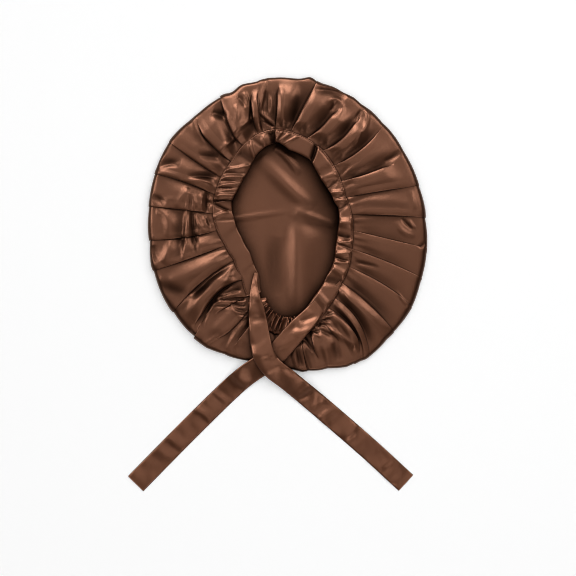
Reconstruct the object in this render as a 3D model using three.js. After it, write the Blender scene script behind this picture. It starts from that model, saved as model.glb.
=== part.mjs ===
// A satin sleep bonnet laid on its crown with the opening upwards, in millimetres, +Z up.
// The origin is on the underside of the crown, at its middle. +Y points to the front of the
// opening and -Y to the nape, where the two ties cross and run out over the surface.
import * as THREE from "three";
import { ParametricGeometry } from "three/addons/geometries/ParametricGeometry.js";

// Cloth thicknesses
const CROWN_CLOTH = 1.4;
const BAND_CLOTH = 1.6; // the band and the nape casing are folded double
const TIE_CLOTH = 1.2;

// Heights above the surface that the bonnet lies on
const SEAM_HEIGHT = 13.5; // the gathered edge of the crown, under the band
const PUFF_HEIGHT = 17; // the ring of pleats between the band and the rim
const RIM_HEIGHT = 5; // the outermost point of the rim fold
const TIE_HEIGHT = 19.2; // the ties where they lie on the ring

// Plan sizes
const SEAM_ALLOWANCE = 3.5; // the crown's edge goes this far under the band
const RIM_RUN = 8; // how far the rim fold curls in under the crown
const LIP = 0.9; // half the width of a pleat's step
const SEW_GAP = 0.4; // between two layers that are sewn together
const PANEL_PUFF = 0.8; // how far the cloth swells between two pleats
const SEWN_SHARE = 0.25; // the share of a pleat's length, from the seam, over which it opens
const FADE_SHARE = 0.3; // and the share over which one that stops short of the rim fades out
const TIE_SHOULDER = 7; // a tie starts to fall this far inside the rim
const TIE_FALL = 25; // and has reached the surface this far on

// A row of the table for each pleat, clockwise from the front of the opening.
// Bearings are degrees anticlockwise from +X. A pleat runs from the seam to the rim, bows
// sideways by bow and fades out at the share reach of its length. rise is the height of its
// step, and over is 1 where the clockwise panel lies on top and -1 where the other one does.
const PLEATS = table(["seamDeg", "seam", "rimDeg", "rim", "bow", "reach", "rise", "over"], [
  [97, 116, 94, 176, -1.5, 0.95, 3.6, 1],
  [87.5, 112, 78, 175.5, 2, 1, 4.4, 1],
  [77, 106.5, 66, 173, -5, 0.8, 4.4, 1],
  [64, 99, 54.5, 169.5, -5, 0.9, 4.4, 1],
  [51.5, 90.5, 44.5, 166.5, -5.5, 1, 3.6, 1],
  [39, 83.5, 30.5, 164, -5, 0.95, 3.6, 1],
  [25, 78, 16.5, 164, 1.5, 1, 2.4, -1],
  [9, 79, 3, 166, 0.5, 1, 2.6, -1],
  [-5, 79.5, -9.5, 170.5, 0, 1, 2.2, 1],
  [-20.5, 83, -21.5, 174, 0.5, 1, 2.2, 1],
  [-34, 90, -33.5, 179.5, 2, 1, 2.4, 1],
  [-46.5, 96, -45, 181.5, 0.5, 1, 2.8, 1],
  [-56.5, 105, -58, 187.5, 6.5, 1, 4.2, 1],
  [-63.5, 111, -61.5, 187, 7, 1, 3.8, -1],
  [-70.5, 119.5, -66.5, 185, 4, 0.7, 2.6, -1],
  [-77.5, 128, -76.5, 179, -2, 0.8, 2.2, -1],
  [-83, 131.5, -82, 177, -1, 1, 1.8, 1],
  [-89, 133, -88, 174, 0, 0.8, 1.2, 1],
  [-96, 131.5, -95, 172.5, 0, 0.8, 1.2, -1],
  [-103, 125.5, -105, 169.5, 1, 0.8, 1.2, -1],
  [-109, 118, -115.5, 172.5, 1, 0.8, 1.6, -1],
  [-114, 110, -124, 176.5, 5, 0.85, 2.4, 1],
  [-119, 99, -127, 176.5, -9, 0.6, 2.4, 1],
  [-129.5, 85, -130.5, 176.5, -12, 1, 4.6, 1],
  [-146, 77, -142.5, 174, -5, 1, 2.8, 1],
  [-161.5, 78.5, -161, 169.5, 1, 1, 2.6, 1],
  [-175.5, 84.5, -173.5, 166, 3, 1, 2.8, 1],
  [-188.5, 90, -187.5, 167, -0.5, 1, 3.0, 1],
  [-202.5, 93.5, -201, 170, -2.5, 1, 2.8, 1],
  [-215.5, 97.5, -215, 173, 1, 1, 2.4, 1],
  [-228.5, 101, -228.5, 171.5, 0.5, 0.95, 4.4, 1],
  [-241, 109, -242.5, 173, 4, 1, 4.4, 1],
  [-252.5, 114.5, -255.5, 176, 1, 0.9, 4.2, 1],
  [-258, 115.5, -262, 177, 3, 0.9, 2.2, -1],
]);

// The front band, anticlockwise from its right end at the nape to its left end. width is the
// plan width, dip how far the free edge hangs below the seam, ruche the depth of its wrinkles.
const BAND = table(["deg", "width", "dip", "ruche"], [
  [-74, 22, 1, 0.9],
  [-58, 19, 2.5, 0.7],
  [-42, 19, 3, 0],
  [-20, 17, 3.5, 0.9],
  [0, 15.5, 4, 0.4],
  [16, 13.5, 4, 0.9],
  [40, 18.5, 3, 0.6],
  [50, 19, 2.5, 0],
  [80, 20, 2, 0],
  [97, 16, 3, 0.8],
  [115, 19, 2, 0.5],
  [132, 25, 1.5, 1],
  [155, 23, 1.5, 1],
  [168, 21.5, 2, 0],
  [200, 21.5, 2.5, 0],
  [234, 21, 1, 0.3],
  [241, 18, 1.5, 0],
]);
const RUCHE_PITCH = 7; // from one wrinkle of the band to the next
const BAND_STEP = RUCHE_PITCH / 2;

// The nape casing, an elastic-gathered strip that closes the ring behind the band's ends
const NAPE = { fromDeg: 243, toDeg: 279, width: 22, folds: 10, ruffle: 3.4, stepsPerFold: 4, flatEnd: 0.2 };

// The ties from the band's ends outwards: middle line, width and lift above what they lie on
const TIE_COLUMNS = ["x", "y", "width", "lift"];
const TIE_RIGHT = table(TIE_COLUMNS, [
  [25.7, -111.8, 22, -4.4],
  [12.5, -125.5, 25, 0],
  [-12, -153, 26, 0],
  [-27, -165, 26, 0],
  [-57, -187, 26, 0],
  [-105.5, -233.5, 26, 0],
  [-160.5, -289, 26, 0],
  [-182.5, -311.5, 26, 0],
]);
const TIE_LEFT = table(TIE_COLUMNS, [
  [-36.6, -56.5, 4, -3.3],
  [-38.8, -72, 8, -3],
  [-38.2, -86.5, 13, -0.6],
  [-36, -102, 19, 1],
  [-34, -120, 23, 1.6],
  [-31.5, -140.5, 25, 2.4],
  [-26, -159, 26, 3.4],
  [-16, -172, 26, 3.4],
  [3.5, -187.5, 26, 2],
  [43, -221, 26, 0],
  [99.5, -270, 26, 0],
  [143.5, -310.5, 26, 0],
]);
const TIE_STEPS = 26;
const ACROSS = [0, 0.35, 0.7, 1]; // stations across the band, the casing and the ties
const BAND_MIDDLE = SEAM_HEIGHT + SEW_GAP + BAND_CLOTH / 2;
const TANGENT_DEG = 2; // each way along the seam, to find the direction that it runs in

// Soft folds on the inside of the crown: a line on the plan, its height and its half width
const INNER_FOLDS = table(["x1", "y1", "x2", "y2", "height", "spread"], [
  [-30, 75, 36, 22, 1.5, 13],
  [-75, 4, 60, 10, 1.3, 10],
  [11, 5, 11, -105, 1.5, 14],
]);

// Stations of the crown wall: shares of the way from the seam to the rim, turns of the rim
// fold in degrees, and shares of the rim's radius on the way in to the middle
const OUTSIDE_TOP = [0, 0.08, 0.2, 0.38, 0.56, 0.74, 0.88, 0.96];
const INSIDE_TOP = [0, 0.2, 0.56, 0.88];
const OUTSIDE_RIM = [0, 30, 60, 90];
const INSIDE_RIM = [0, 90];
const OUTSIDE_UNDER = [0.5];
const INSIDE_UNDER = [0.78, 0.62, 0.48, 0.36, 0.24, 0.12];
const PANEL_SHARES = [1 / 3, 2 / 3];
const SLOPE_STEP = 0.01; // the share each way over which the wall's slope is read

const BROWN_SATIN = { color: 0x60402f, roughness: 0.42, metalness: 0 };

function table(columns, rows) {
  return rows.map((row) => Object.fromEntries(columns.map((name, i) => [name, row[i]])));
}

const lerp = THREE.MathUtils.lerp;
const smoothstep = THREE.MathUtils.smoothstep;
const radians = THREE.MathUtils.degToRad;
const onPlan = (deg, mm) => new THREE.Vector2(mm * Math.cos(radians(deg)), mm * Math.sin(radians(deg)));

// The value of a column at a key that lies between two rows, for rows in rising order of it
function between(rows, key, column, at) {
  const next = rows.findIndex((row) => row[key] >= at);
  if (next <= 0) return (next < 0 ? rows.at(-1) : rows[0])[column];
  const share = (at - rows[next - 1][key]) / (rows[next][key] - rows[next - 1][key]);
  return lerp(rows[next - 1][column], rows[next][column], share);
}

// The seam's or the rim's radius at any bearing, read round the whole ring of pleats
const aTurnOn = (pleat) => ({ ...pleat, seamDeg: pleat.seamDeg - 360, rimDeg: pleat.rimDeg - 360 });
const clockwise = [...PLEATS, ...PLEATS.map(aTurnOn)];
const rising = [...clockwise].reverse();
const wrapped = (deg) => THREE.MathUtils.euclideanModulo(deg - 90, 360) - 270;
const seamAt = (deg) => between(rising, "seamDeg", "seam", wrapped(deg));
const rimAt = (deg) => between(rising, "rimDeg", "rim", wrapped(deg));

// The line of a pleat on the plan, as a bearing and a radius at a share of its length
function creaseAt(pleat, share) {
  const from = onPlan(pleat.seamDeg, pleat.seam);
  const to = onPlan(pleat.rimDeg, pleat.rim);
  const along = to.clone().sub(from).normalize();
  const bow = pleat.bow * 4 * share * (1 - share);
  const point = from.lerp(to, share).add(new THREE.Vector2(-along.y, along.x).multiplyScalar(bow));
  const deg = THREE.MathUtils.radToDeg(point.angle());
  const turns = Math.round((pleat.seamDeg - deg) / 360);
  return { deg: deg + 360 * turns, mm: point.length() };
}

// A pleat is sewn flat at the seam, stands up along its length and fades out at its reach
function riseAt(pleat, share) {
  const fade = pleat.reach < 1 ? 1 - smoothstep(share, pleat.reach - FADE_SHARE, pleat.reach) : 1;
  return pleat.rise * smoothstep(share, 0, SEWN_SHARE) * fade;
}

// Columns of the crown wall, clockwise: both sides of each pleat's step, then its panel
function crownColumns() {
  const side = (pleat, way) => (share) => {
    const { deg, mm } = creaseAt(pleat, share);
    const step = THREE.MathUtils.radToDeg(LIP / mm);
    return { deg: deg - way * step, mm, rise: pleat.over === way ? riseAt(pleat, share) : 0 };
  };
  const inPanel = (before, after, part) => (share) => {
    const a = before(share);
    const b = after(share);
    const swell = PANEL_PUFF * Math.sin(Math.PI * part) * smoothstep(share, 0, SEWN_SHARE);
    return {
      deg: lerp(a.deg, b.deg, part),
      mm: lerp(a.mm, b.mm, part),
      rise: lerp(a.rise, b.rise, part) + swell,
    };
  };
  return PLEATS.flatMap((pleat, i) => {
    const next = clockwise[i + 1];
    const before = side(pleat, 1);
    const after = side(next, -1);
    return [side(pleat, -1), before, ...PANEL_SHARES.map((part) => inPanel(before, after, part))];
  });
}

// Height of the ring of pleats at a share of the way from the seam to the rim
function ringHeight(share) {
  const round = Math.sqrt(Math.max(0, 1 - share ** 4));
  const sewn = (PUFF_HEIGHT - SEAM_HEIGHT) * (1 - smoothstep(share, 0, SEWN_SHARE));
  return RIM_HEIGHT + (PUFF_HEIGHT - RIM_HEIGHT) * round - sewn;
}

// A station of the wall's outside, as a bearing, a radius, a height and its outward normal
function topStation(column, share) {
  const { deg, mm, rise } = column(share);
  const climb = ringHeight(share + SLOPE_STEP) - ringHeight(share - SLOPE_STEP);
  const slope = climb / (2 * SLOPE_STEP);
  const run = column(1).mm - column(0).mm;
  const normal = new THREE.Vector2(-slope / run, 1).normalize();
  return { deg, mm: mm + rise * normal.x, z: ringHeight(share) + rise * normal.y, normal };
}

function edgeStation(column) {
  const { deg, mm } = column(0);
  return { deg, mm: mm - SEAM_ALLOWANCE, z: SEAM_HEIGHT, normal: new THREE.Vector2(0, 1) };
}

function rimStation(column, turn) {
  const { deg, mm } = column(1);
  const normal = new THREE.Vector2(Math.cos(radians(turn)), -Math.sin(radians(turn)));
  return {
    deg,
    mm: mm - RIM_RUN * (1 - normal.x),
    z: RIM_HEIGHT * (1 + normal.y),
    normal,
  };
}

function underStation(column, share) {
  const { deg, mm } = column(1);
  return { deg, mm: mm * share, z: 0, normal: new THREE.Vector2(0, -1) };
}

// Height of the soft folds on the inside of the crown
function innerFold(point) {
  return INNER_FOLDS.reduce((height, fold) => {
    const from = new THREE.Vector2(fold.x1, fold.y1);
    const line = new THREE.Vector2(fold.x2, fold.y2).sub(from);
    const along = THREE.MathUtils.clamp(point.clone().sub(from).dot(line) / line.lengthSq(), 0, 1);
    const away = point.distanceTo(from.add(line.multiplyScalar(along)));
    return Math.max(height, fold.height * Math.exp(-((away / fold.spread) ** 2)));
  }, 0);
}

function outsidePoint(station) {
  const { x, y } = onPlan(station.deg, station.mm);
  return new THREE.Vector3(x, y, station.z);
}

function insidePoint(station) {
  const { x, y } = onPlan(station.deg, station.mm - CROWN_CLOTH * station.normal.x);
  const z = station.z - CROWN_CLOTH * station.normal.y;
  return new THREE.Vector3(x, y, z + (station.normal.y === -1 ? innerFold(new THREE.Vector2(x, y)) : 0));
}

// The crown: a round of satin gathered to the opening, one wall that is open at the top
function crown() {
  const columns = crownColumns();
  const outside = (column) => [
    ...OUTSIDE_UNDER.map((share) => underStation(column, share)),
    ...OUTSIDE_RIM.map((turn) => rimStation(column, turn)).reverse(),
    ...OUTSIDE_TOP.map((share) => topStation(column, share)).reverse(),
    edgeStation(column),
  ];
  const inside = (column) => [
    edgeStation(column),
    ...INSIDE_TOP.map((share) => topStation(column, share)),
    ...INSIDE_RIM.map((turn) => rimStation(column, turn)),
    ...INSIDE_UNDER.map((share) => underStation(column, share)),
  ];
  const middle = new THREE.Vector3(0, 0, 0);
  const insideMiddle = new THREE.Vector3(0, 0, CROWN_CLOTH + innerFold(new THREE.Vector2()));
  const rings = columns.map((column) => [
    middle,
    ...outside(column).map(outsidePoint),
    ...inside(column).map(insidePoint),
    insideMiddle,
  ]);
  return surface(rings.reverse());
}

// A closed surface through rings of points: the rings follow each other round the piece
function surface(rings) {
  const slices = rings.length;
  const stacks = rings[0].length - 1;
  const place = (u, v, target) => {
    const ring = rings[Math.round(u * slices) % slices];
    target.copy(ring[Math.round(v * stacks)]);
  };
  return new ParametricGeometry(place, slices, stacks);
}

// A strip of cloth through rows of points that run from one selvedge to the other
function strip(rows, cloth) {
  const normalAt = (i, j) => {
    const across = rows[i][Math.min(j + 1, rows[i].length - 1)].clone().sub(rows[i][Math.max(j - 1, 0)]);
    const along = rows[Math.min(i + 1, rows.length - 1)][j].clone().sub(rows[Math.max(i - 1, 0)][j]);
    const normal = across.cross(along).normalize();
    return normal.z < 0 ? normal.negate() : normal;
  };
  const offset = (p, i, j, mm) => p.clone().addScaledVector(normalAt(i, j), mm);
  const face = (i, way) => rows[i].map((p, j) => offset(p, i, j, (way * cloth) / 2));
  const section = (i) => [...face(i, -1), ...face(i, 1).reverse()];
  const end = (i) => [...face(i, 0), ...face(i, 0).reverse()];
  const sections = [end(0), ...rows.map((_, i) => section(i)), end(rows.length - 1)];
  const rings = sections[0].map((_, k) => sections.map((points) => points[k]));
  return surface(rings);
}

// A point on the band: share 0 is the seam, share 1 the free edge that hangs over the opening
function ringPoint(deg, share, width, height) {
  const from = onPlan(deg, seamAt(deg));
  const before = onPlan(deg - TANGENT_DEG, seamAt(deg - TANGENT_DEG));
  const along = onPlan(deg + TANGENT_DEG, seamAt(deg + TANGENT_DEG)).sub(before).normalize();
  const point = from.addScaledVector(new THREE.Vector2(-along.y, along.x), width * share);
  return new THREE.Vector3(point.x, point.y, height);
}

function bearingSteps(fromDeg, toDeg, step) {
  const bearings = [fromDeg];
  while (bearings.at(-1) < toDeg) {
    const deg = bearings.at(-1);
    bearings.push(Math.min(toDeg, deg + THREE.MathUtils.radToDeg(step / seamAt(deg))));
  }
  return bearings;
}

// The front band, ruched where the elastic draws it up, with its free edge rolled down
function frontBand() {
  const bearings = bearingSteps(BAND[0].deg, BAND.at(-1).deg, BAND_STEP);
  const rows = bearings.map((deg, i) => {
    const at = (column) => between(BAND, "deg", column, deg);
    const wrinkle = at("ruche") * (i % 2);
    return ACROSS.map((share) => {
      const height = BAND_MIDDLE + wrinkle - at("dip") * share ** 3;
      return ringPoint(deg, share, at("width"), height);
    });
  });
  return strip(rows, BAND_CLOTH);
}

// The nape casing, drawn up by its elastic into a row of small upright folds
function napeCasing() {
  const steps = NAPE.folds * NAPE.stepsPerFold;
  const rows = Array.from({ length: steps + 1 }, (_, i) => {
    const deg = lerp(NAPE.fromDeg, NAPE.toDeg, i / steps);
    const nearEnd = Math.min(i, steps - i) / steps;
    const fold = NAPE.ruffle * smoothstep(nearEnd, 0, NAPE.flatEnd);
    const wave = 0.5 - 0.5 * Math.cos((2 * Math.PI * i) / NAPE.stepsPerFold);
    return ACROSS.map((share) => ringPoint(deg, share, NAPE.width, BAND_MIDDLE + fold * wave * share));
  });
  return strip(rows, BAND_CLOTH);
}

// Height at which a tie lies: on the ring of pleats, then down past the rim to the surface
function tieHeight(x, y) {
  const point = new THREE.Vector2(x, y);
  const past = point.length() - rimAt(THREE.MathUtils.radToDeg(point.angle())) + TIE_SHOULDER;
  return TIE_CLOTH / 2 + TIE_HEIGHT * (1 - smoothstep(past, 0, TIE_FALL));
}

function tie(rows) {
  const line = new THREE.CatmullRomCurve3(rows.map((row) => new THREE.Vector3(row.x, row.y, 0)));
  const numbered = rows.map((row, i) => ({ ...row, share: i / (rows.length - 1) }));
  const sections = Array.from({ length: TIE_STEPS + 1 }, (_, i) => {
    const share = i / TIE_STEPS;
    const middle = line.getPoint(share);
    const along = line.getTangent(share);
    const width = between(numbered, "share", "width", share);
    const lift = between(numbered, "share", "lift", share);
    return ACROSS.map((part) => {
      const out = (part - 0.5) * width;
      const x = middle.x - along.y * out;
      const y = middle.y + along.x * out;
      return new THREE.Vector3(x, y, tieHeight(x, y) + lift);
    });
  });
  return strip(sections, TIE_CLOTH);
}

function piece(name, geometry) {
  const mesh = new THREE.Mesh(geometry, new THREE.MeshStandardMaterial(BROWN_SATIN));
  mesh.name = name;
  return mesh;
}

const bonnet = new THREE.Group();
bonnet.add(
  piece("crown", crown()),
  piece("front_band", frontBand()),
  piece("nape_casing", napeCasing()),
  piece("tie_right", tie(TIE_RIGHT)),
  piece("tie_left", tie(TIE_LEFT)),
);

export default bonnet;
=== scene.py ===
"""Looks of the satin sleep bonnet: its cloth in place of the solids, in one frame."""

import math

import bpy
import numpy as np
from mathutils.geometry import delaunay_2d_cdt
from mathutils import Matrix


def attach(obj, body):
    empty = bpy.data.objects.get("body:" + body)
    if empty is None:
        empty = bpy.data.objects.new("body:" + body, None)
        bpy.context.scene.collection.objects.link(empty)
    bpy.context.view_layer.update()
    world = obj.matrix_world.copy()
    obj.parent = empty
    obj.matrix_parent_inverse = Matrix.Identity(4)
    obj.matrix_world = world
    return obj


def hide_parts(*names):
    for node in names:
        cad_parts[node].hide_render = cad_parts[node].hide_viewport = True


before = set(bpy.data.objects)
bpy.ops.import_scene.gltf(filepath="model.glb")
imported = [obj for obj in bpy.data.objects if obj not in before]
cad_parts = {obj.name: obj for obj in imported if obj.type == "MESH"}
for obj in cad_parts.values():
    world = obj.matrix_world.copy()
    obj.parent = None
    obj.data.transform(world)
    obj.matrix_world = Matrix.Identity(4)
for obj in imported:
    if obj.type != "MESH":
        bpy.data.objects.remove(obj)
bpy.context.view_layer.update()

# Lengths in the tables are millimetres in the part's frame, and those of the scene are metres
MM = 0.001

# Heights of the cloth above the surface that it lies on
SEAM_HEIGHT = 13.5
PUFF_HEIGHT = 17.0
RIM_HEIGHT = 5.0
UNDER_HEIGHT = 0.3
LOWEST = 0.15
TIE_HEIGHT = 19.2

# Sizes of the crown. A share is part of the way from the seam, 0, to the rim, 1
RING_WIDTH = 80
RIM_RUN = 8.0
RIM_POWER = 40
RIM_TURNS = (18, 36, 54, 72, 90)
RIM_FADE = (0.1, 1.2)
PANEL_SWELL = 2.6
SWELL_RUN = 25
UNDER_RUN = 16.0
UNDER_PARTS = np.array([0.5, 1.0])
TUCKED = (-0.045, -0.02)
CLIMB_SHARE = 0.45
NUDGE = 0.002
UPRIGHT = -1e6

# How a pleat opens from the seam and fades before the rim
SEWN_SHARE = 0.22
SEWN_RISE = 0.3
LAP_SHARE = 0.3
SEWN_LAP = 0.6
FADE_SHARE = 0.3
FLARE_FROM = 0.5
PUFF_SHARE = 0.2
PUFF_POWER = 1.2
RIM_PUFF = 0.1
PANEL_EASE = 0.5

# Where the seam and the rim hold the ring's wrinkles down, and the gathers beside the seam
SEAM_HOLDS = (0.0, 0.06)
RIM_HOLDS = (0.93, 1.0)
RIM_STEP_FROM = 0.75
GATHER_FADE = 0.16
GATHER_FROM = (-0.01, 0.04)

# Irregular folds that run out from the seam: height, seed, and fewest and most round the ring
GATHERS = (0.6, 4, 36, 80)
LONG_FOLDS = (0.35, 9, 16, 44)

# Irregular waves: height, seed and wavelength. They are less where the panels puff less
RING_WAVES = ((0.3, 3, 42.0), (0.08, 5, 17.0))
PANEL_WAVE = (0.2, 8, 50.0)
USUAL_PUFF = 0.075
RESTLESS = (0.25, 1.2)

# Sizes of the bands and ties
SEAM_GAP = 0.4
BAND_CLOTH = 1.6
TIE_CLOTH = 0.9
SELVEDGE = 1.5
SELVEDGE_THIN = 0.12
TIE_SHOULDER = 7.0
TIE_FALL = 50.0


def table(columns, rows):
    """A dictionary of arrays, one for each named column."""
    return dict(zip(columns.split(), np.array(rows, dtype=float).T))


# A row for each pleat, clockwise from the front of the opening. Bearings are degrees
# anticlockwise from +X. A pleat runs from the seam to the rim, bows sideways by bow, most at the
# share knee of its length, and stops at the share reach. rise is the height of its lip, lap the
# width of the cloth folded under it, and flare the share of the rise that is left at the rim.
# over is 1 where the clockwise panel lies on top and -1 where the other one does. puff is how far
# the panel on the clockwise side swells, as a share of its width.
PLEATS = table("seam_deg seam rim_deg rim bow knee reach rise lap flare over puff", [
    (97, 116, 94, 176, -1.5, 0.5, 0.95, 4.2, 3.5, 0.4, 1, 0.08),
    (87.5, 112, 78, 175.5, 0.5, 0.5, 1, 5.4, 5, 0.2, 1, 0.06),
    (77, 106.5, 66, 173, -5, 0.42, 0.8, 5, 4.6, 0.1, 1, 0.07),
    (64, 99, 57.5, 170.5, -8, 0.45, 0.9, 4.8, 4.6, 0.05, 1, 0.06),
    (51.5, 90.5, 46, 168, -5.8, 0.5, 1, 3, 4.2, 0.05, 1, 0.075),
    (39, 83.5, 31.5, 166, -6, 0.64, 0.88, 3.4, 4.2, 0.05, 1, 0.045),
    (25, 78, 16.5, 165.5, 0.3, 0.5, 1, 2.6, 3.5, 0.2, -1, 0.035),
    (9, 79, 3, 166.5, 0.5, 0.5, 1, 3, 3.5, 0.3, -1, 0.04),
    (-5, 79.5, -9.5, 170.5, 0, 0.5, 1, 1.7, 2.6, 0.4, 1, 0.03),
    (-20.5, 83, -21.5, 174, 2, 0.5, 1, 1.7, 2.6, 0.4, 1, 0.03),
    (-34, 90, -33.5, 179.5, 4.6, 0.6, 1, 1.8, 2.6, 0.5, 1, 0.03),
    (-46.5, 96, -45, 181.5, 3.5, 0.5, 1, 3.4, 5, 0.3, 1, 0.07),
    (-56.5, 105, -58, 186.5, 9.4, 0.5, 1, 2.3, 2.8, 0.25, 1, 0.06),
    (-63.5, 111, -62, 186, 12, 0.6, 0.95, 2.8, 2.8, 0.2, 1, 0.06),
    (-70.5, 119.5, -66.5, 185, 4, 0.5, 0.6, 1.6, 3, 0.3, -1, 0.08),
    (-77.5, 128, -76.5, 179, -2, 0.5, 0.8, 2, 3, 0.3, -1, 0.06),
    (-83, 131.5, -82, 177, -1, 0.5, 1, 1.8, 2.5, 0.3, 1, 0.05),
    (-89, 133, -88, 174, 0, 0.5, 0.8, 1.2, 2, 0.3, 1, 0.05),
    (-96, 131.5, -95, 172.5, 0, 0.5, 0.8, 1.2, 2, 0.3, -1, 0.05),
    (-103, 125.5, -105, 169.5, 1, 0.5, 0.8, 1.2, 2, 0.3, -1, 0.05),
    (-109, 118, -115.5, 172.5, 1, 0.5, 0.8, 1.6, 2.5, 0.3, -1, 0.05),
    (-114, 110, -124, 176.5, 5, 0.5, 0.85, 2.2, 3, 0.3, 1, 0.06),
    (-119, 99, -127, 176.5, -9, 0.5, 0.6, 2.4, 3, 0.3, 1, 0.08),
    (-129.5, 85, -130, 174, -12, 0.42, 0.97, 6.4, 5, 0.4, 1, 0.07),
    (-146, 77, -142.5, 172, -5, 0.5, 1, 3, 3.5, 0.4, 1, 0.05),
    (-161.5, 78.5, -161, 169.5, 1, 0.5, 1, 2.8, 3, 0.4, 1, 0.045),
    (-175.5, 84.5, -173.5, 166, 3, 0.4, 1, 2.8, 3, 0.4, 1, 0.04),
    (-188.5, 90, -187.5, 167, -0.5, 0.5, 1, 3, 3.5, 0.4, 1, 0.04),
    (-202.5, 93.5, -201, 170, -2.5, 0.5, 1, 3, 3.5, 0.4, 1, 0.045),
    (-215.5, 97.5, -215, 173, 1, 0.5, 1, 2.8, 3, 0.3, 1, 0.05),
    (-228.5, 101, -228.5, 171.5, 4.5, 0.54, 0.95, 4.8, 4.6, 0.4, 1, 0.06),
    (-241, 109, -242.5, 173, 5.5, 0.27, 1, 5, 4.4, 0.4, 1, 0.07),
    (-252.5, 114.5, -255.5, 176, 3.4, 0.33, 0.9, 4.6, 3.4, 0.3, 1, 0.07),
    (-258, 115.5, -262, 177, 4.4, 0.5, 0.9, 0.8, 2.6, 0.4, -1, 0.04),
])

# Small steps of the outline: bearing, half width in degrees, and how far out
RIM_STEPS = table("deg spread out", [
    (81, 2.6, 4),
    (75, 3, -1.5),
    (94, 5, 1.6),
    (107.5, 2.5, 1.4),
    (112.5, 2.5, -2.4),
])

# Section of a pleat from the lower panel, round under the lip, to the upper panel: across in
# laps from the lip, height in rises above the lower panel, and how deep in the fold it is, which sets
# its painted shade
FOLD = table("across height depth", [
    (-0.7, 0, 0.45),
    (-0.15, -0.04, 0.75),
    (0.4, -0.04, 1),
    (0.75, 0.06, 1),
    (0.8, 0.26, 1),
    (0.5, 0.36, 1),
    (0.12, 0.42, 0.7),
    (0, 0.52, 0.25),
    (0.05, 0.66, 0),
    (0.22, 0.78, 0),
    (0.55, 0.88, 0),
    (1.05, 0.97, 0),
    (1.7, 1.03, 0),
    (2.4, 1, 0),
])
PANEL_SPACING = 1.1
FEWEST_COLUMNS = 4
TOP_ROWS = 64
END_SPACING = 0.7

# The flat fill of the inside panel
FILL_SPACING = 2.2
FILL_REACH = 190
FILL_MARGIN = 0.7
FILL_MERGE = 0.001

# Painted shade in the folds, beside them, in the hollows, along the rim, and on the panel beside the
# band
FOLD_SHADE = 0.85
NEAR_FOLD = 8.0
UNDER_LIP_SHADE = 0.6
OVER_LIP_SHADE = 0.1
DEEP_RISE = 3.2
HOLLOW_SHADE = 0.27
HOLLOW_DARKEST = 0.3
EDGE_SHADE = 0.74
EDGE_SHARES = (0.91, 0.985)
BAND_SHADE = (0.35, 0.95)
BAND_SHADE_RUN = (4, 26)
SHADE_BEARING = 24

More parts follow.
